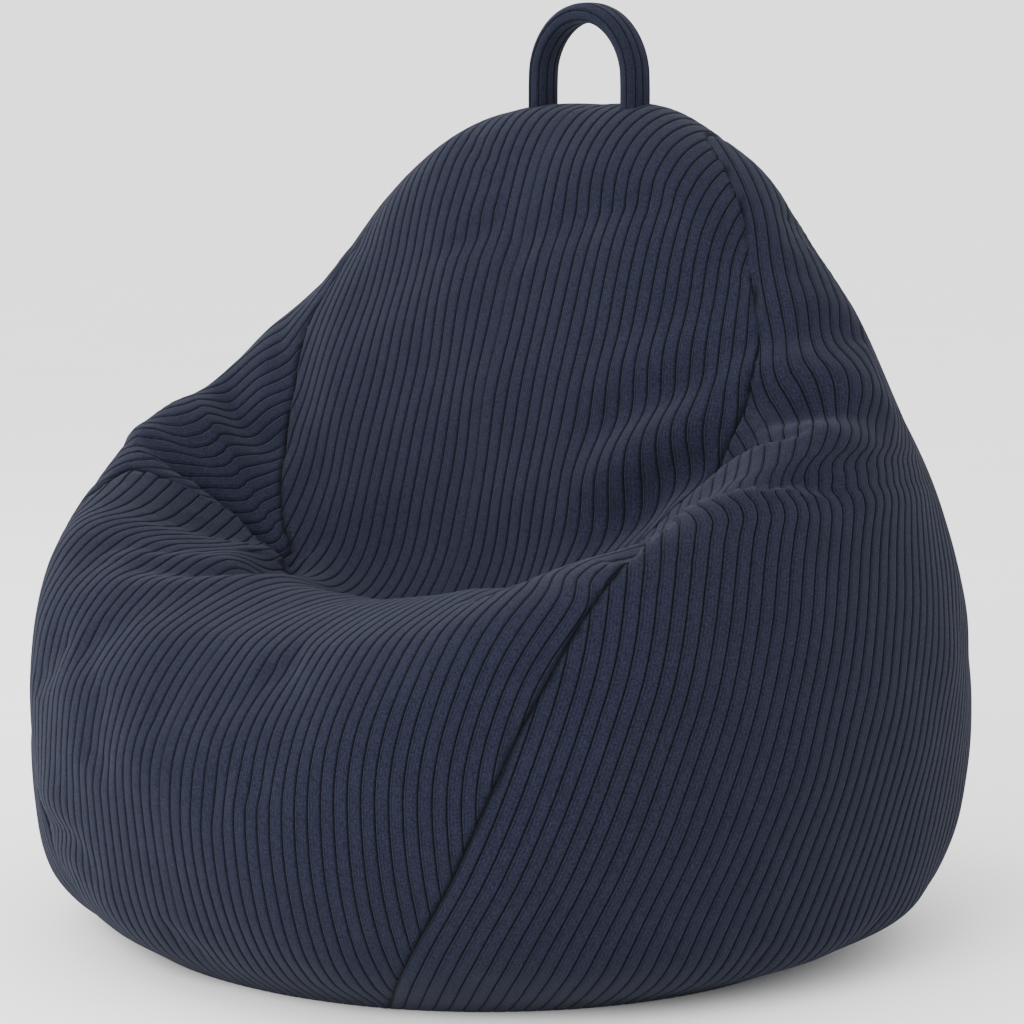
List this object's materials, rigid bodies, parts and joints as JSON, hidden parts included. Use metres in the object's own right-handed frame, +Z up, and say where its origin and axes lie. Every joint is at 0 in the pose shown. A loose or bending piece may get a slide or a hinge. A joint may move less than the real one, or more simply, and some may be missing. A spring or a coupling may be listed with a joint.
{
  "type": "bean bag chair",
  "caption": "Large teardrop bean bag chair in dark navy ribbed fabric, with a hollowed seat, low arms, a leaning back and a padded carrying loop.",
  "frame": {"origin": "middle of the base panel's underside", "axes": "the sitter faces -Y, +X is to the sitter's left, +Z up"},
  "size_m": [0.8796, 0.8663, 0.8687],
  "materials": {
    "ribbed_cover": "matte",
    "base_fabric": "matte",
    "padding": "matte",
    "zip_tape": "matte",
    "zip_coil": "satin",
    "zip_metal": "satin",
    "liner_cloth": "matte",
    "liner_coil": "satin",
    "beads": "matte"
  },
  "bodies": {
    "bag": {"front_panel": "ribbed_cover", "right_side_panel": "ribbed_cover", "left_side_panel": "ribbed_cover", "base_panel": "base_fabric", "handle_end_left": "ribbed_cover", "handle_end_right": "ribbed_cover", "handle_patch_left": "base_fabric", "handle_patch_right": "base_fabric", "zip_tape_left": "zip_tape", "zip_tape_right": "zip_tape", "zip_coil_left": "zip_coil", "zip_coil_right": "zip_coil", "zip_stop_low": "zip_metal", "zip_stop_high": "zip_metal", "liner_front": "liner_cloth", "liner_back": "liner_cloth", "liner_base": "liner_cloth", "liner_zip_tape": "liner_cloth", "liner_zip_coil": "liner_coil", "bead_fill": "beads"},
    "handle": {"handle_strap": "ribbed_cover", "handle_core": "padding"},
    "zip_slider": {"zip_slider": "zip_metal"},
    "zip_pull": {"zip_pull": "zip_metal"},
    "liner_zip_slider": {"liner_zip_slider": "zip_metal"}
  },
  "joints": [
    {"name": "handle_flop", "type": "hinge", "parent": "bag", "child": "handle", "pos_m": [0, 0.126, 0.78771], "axis": [1, 0, 0], "range_deg": [-60, 60], "stiffness_Nm_per_rad": 0.25},
    {"name": "zip_travel", "type": "hinge", "parent": "bag", "child": "zip_slider", "pos_m": [0, 0.04, 0.225], "axis": [1, 0, 0], "range_deg": [-40.8, 0]},
    {"name": "pull_swing", "type": "hinge", "parent": "zip_slider", "child": "zip_pull", "pos_m": [0, 0.39299, 0.39251], "axis": [1, 0, 0], "range_deg": [0, 150]},
    {"name": "liner_zip_travel", "type": "hinge", "parent": "bag", "child": "liner_zip_slider", "pos_m": [0, 0.04, 0.225], "axis": [1, 0, 0], "range_deg": [-38.2, 0]}
  ]
}
